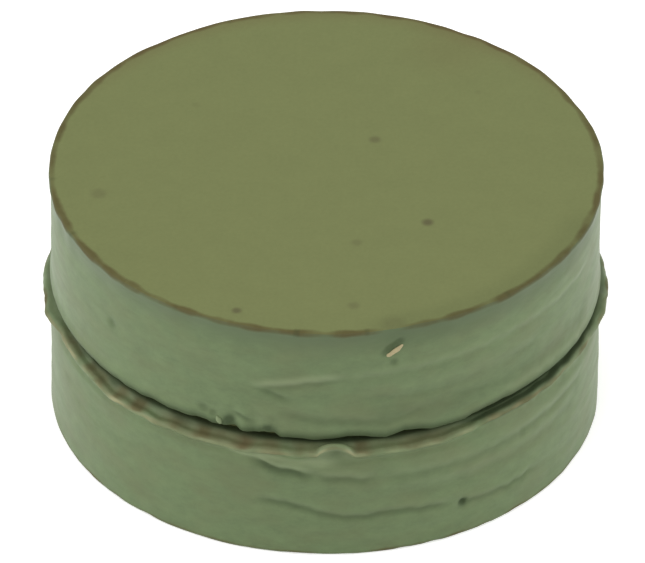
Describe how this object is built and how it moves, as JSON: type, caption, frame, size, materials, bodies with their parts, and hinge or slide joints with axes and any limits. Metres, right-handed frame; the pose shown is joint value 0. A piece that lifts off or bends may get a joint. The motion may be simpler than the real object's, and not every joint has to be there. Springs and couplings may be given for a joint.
{
  "type": "billiard cue tip",
  "caption": "Round flat-faced leather cue tip of bonded layers with a thin lip at the seam; it is glued to the end of a billiard cue and strikes the ball.",
  "frame": {"origin": "centre of the face that is glued to the cue's ferrule", "axes": "+Z along the tip's axis, from the ferrule face to the striking face; -Y is the front, where most of the pushed-out cement is"},
  "size_m": [0.0134, 0.0134, 0.0065],
  "materials": {
    "dyed_hide": "green dyed hide, sanded matt on its faces and burnished to a satin on its wall, with brown rims",
    "cement": "cured contact cement, dulled with green dust"
  },
  "bodies": {
    "root": {"striking_layer": "dyed_hide", "bond_film": "cement", "base_layer": "dyed_hide", "squeeze_out": "cement"}
  },
  "joints": []
}
